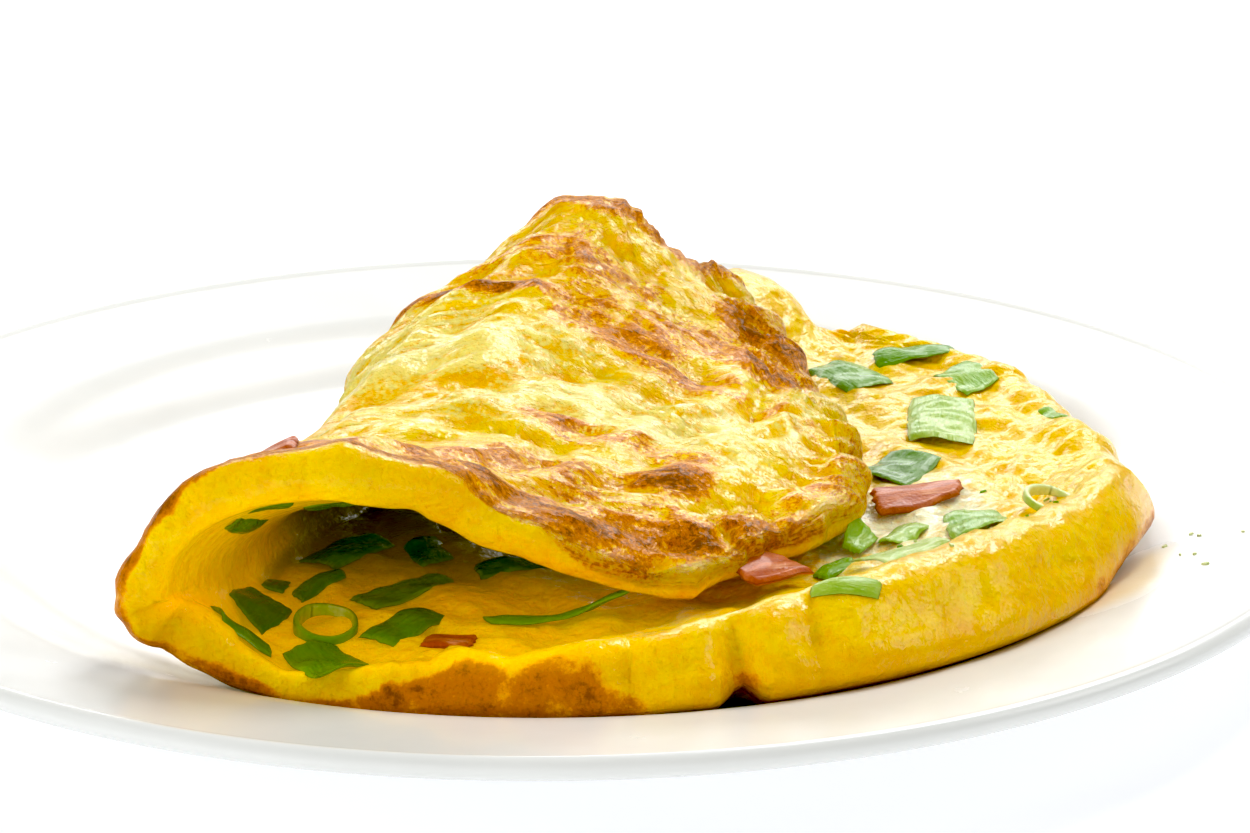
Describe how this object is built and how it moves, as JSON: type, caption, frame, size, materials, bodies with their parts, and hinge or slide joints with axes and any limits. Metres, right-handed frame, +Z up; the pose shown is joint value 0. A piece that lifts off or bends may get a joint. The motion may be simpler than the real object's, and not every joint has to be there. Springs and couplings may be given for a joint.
{
  "type": "folded omelette on a plate",
  "caption": "Folded omelette rolled over a filling of scallion pieces and ham, lying open to the right on a round white rimmed dinner plate.",
  "frame": {"origin": "centre of the plate on the table, which is the bottom centre of the whole", "axes": "+Z up, -Y towards the open front end of the roll, +X to the right, where the lower layer lies open"},
  "size_m": [0.26, 0.26, 0.0512],
  "materials": {
    "plate_glaze": "gloss",
    "egg": "satin",
    "scallion": "satin",
    "scallion_stalk": "satin",
    "ham": "satin"
  },
  "bodies": {
    "root": {"plate": "plate_glaze", "omelette": "egg", "scallion_1": "scallion", "scallion_2": "scallion", "scallion_3": "scallion", "scallion_4": "scallion", "scallion_5": "scallion", "scallion_6": "scallion", "scallion_7": "scallion", "scallion_8": "scallion", "scallion_9": "scallion", "scallion_10": "scallion", "scallion_11": "scallion", "scallion_12": "scallion", "scallion_13": "scallion", "scallion_14": "scallion", "scallion_15": "scallion", "scallion_16": "scallion", "scallion_17": "scallion", "scallion_18": "scallion", "scallion_19": "scallion", "scallion_20": "scallion", "scallion_21": "scallion", "scallion_22": "scallion", "scallion_23": "scallion", "scallion_roof_1": "scallion", "scallion_roof_2": "scallion", "scallion_roof_3": "scallion", "ring_1": "scallion_stalk", "ring_2": "scallion_stalk", "ham_1": "ham", "ham_2": "ham", "ham_3": "ham", "ham_on_skin": "ham"}
  },
  "joints": []
}
